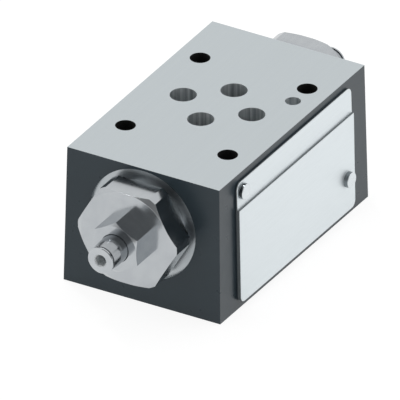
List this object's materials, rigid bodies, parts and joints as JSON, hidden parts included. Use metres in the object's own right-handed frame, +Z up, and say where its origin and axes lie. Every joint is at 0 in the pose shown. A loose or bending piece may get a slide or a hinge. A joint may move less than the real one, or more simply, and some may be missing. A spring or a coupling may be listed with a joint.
{
  "type": "hydraulic sandwich valve",
  "caption": "Drafted cast valve block with through ports, bolt holes and an adjustable throttle cartridge screwed into each end.",
  "frame": {"origin": "centre of the face that lies on the subplate", "axes": "+Z up through the block to the top mounting face, X along both cartridges with the A cartridge at -X, nameplate side at -Y"},
  "size_m": [0.1223, 0.0501, 0.04],
  "materials": {
    "housing_paint": "dark painted cast iron, ground on its two flat faces",
    "plate": "satin anodised",
    "bright_steel": "turned, bright",
    "zinc_steel": "turned and zinc plated",
    "hardened_steel": "ground",
    "spring_steel": "blued wire and strip",
    "rubber": "moulded"
  },
  "bodies": {
    "housing": {"housing": "housing_paint", "nameplate": "plate", "drive_screws": "bright_steel", "port_seal_a": "rubber", "port_seal_b": "rubber", "port_seal_p": "rubber", "port_seal_t": "rubber", "screw_plug_a": "zinc_steel", "plug_seal_ring_a": "rubber", "seat_circlip_a": "spring_steel", "check_spring_a": "spring_steel", "screw_plug_b": "zinc_steel", "plug_seal_ring_b": "rubber", "seat_circlip_b": "spring_steel", "check_spring_b": "spring_steel"},
    "spool_a": {"throttle_spool_a": "hardened_steel", "spool_clip_a": "spring_steel"},
    "spindle_a": {"adjusting_spindle_a": "bright_steel", "spindle_seal_ring_a": "rubber"},
    "locknut_a": {"locknut_a": "zinc_steel"},
    "seat_a": {"valve_seat_a": "hardened_steel"},
    "spool_b": {"throttle_spool_b": "hardened_steel", "spool_clip_b": "spring_steel"},
    "spindle_b": {"adjusting_spindle_b": "bright_steel", "spindle_seal_ring_b": "rubber"},
    "locknut_b": {"locknut_b": "zinc_steel"},
    "seat_b": {"valve_seat_b": "hardened_steel"}
  },
  "joints": [
    {"name": "spool_a_slide", "type": "slide", "parent": "housing", "child": "spool_a", "axis": [1, 0, 0], "range_m": [-0.003, 0.002]},
    {"name": "spindle_a_turn", "type": "hinge", "parent": "spool_a", "child": "spindle_a", "pos_m": [-0.0456, 0, 0.02335], "axis": [1, 0, 0], "range_deg": [-864.5, 576.5]},
    {"name": "locknut_a_turn", "type": "hinge", "parent": "housing", "child": "locknut_a", "pos_m": [-0.0496, 0, 0.02335], "axis": [1, 0, 0], "range_deg": [-360, 0]},
    {"name": "seat_a_slide", "type": "slide", "parent": "housing", "child": "seat_a", "axis": [1, 0, 0], "range_m": [0, 0.0022], "stiffness_N_per_m": 300, "springref_m": -0.0005, "deforming": ["check_spring_a"]},
    {"name": "spool_b_slide", "type": "slide", "parent": "housing", "child": "spool_b", "axis": [-1, 0, 0], "range_m": [-0.003, 0.002]},
    {"name": "spindle_b_turn", "type": "hinge", "parent": "spool_b", "child": "spindle_b", "pos_m": [0.0465, 0, 0.02335], "axis": [-1, 0, 0], "range_deg": [-864.5, 576.5]},
    {"name": "locknut_b_turn", "type": "hinge", "parent": "housing", "child": "locknut_b", "pos_m": [0.0505, 0, 0.02335], "axis": [-1, 0, 0], "range_deg": [-360, 0]},
    {"name": "seat_b_slide", "type": "slide", "parent": "housing", "child": "seat_b", "axis": [-1, 0, 0], "range_m": [0, 0.0022], "stiffness_N_per_m": 300, "springref_m": -0.0005, "deforming": ["check_spring_b"]}
  ],
  "couplings": [
    {"joint": "spindle_a_turn", "follows": "spool_a_slide", "rad_per_m": 5026.5},
    {"joint": "spindle_b_turn", "follows": "spool_b_slide", "rad_per_m": 5026.5}
  ]
}
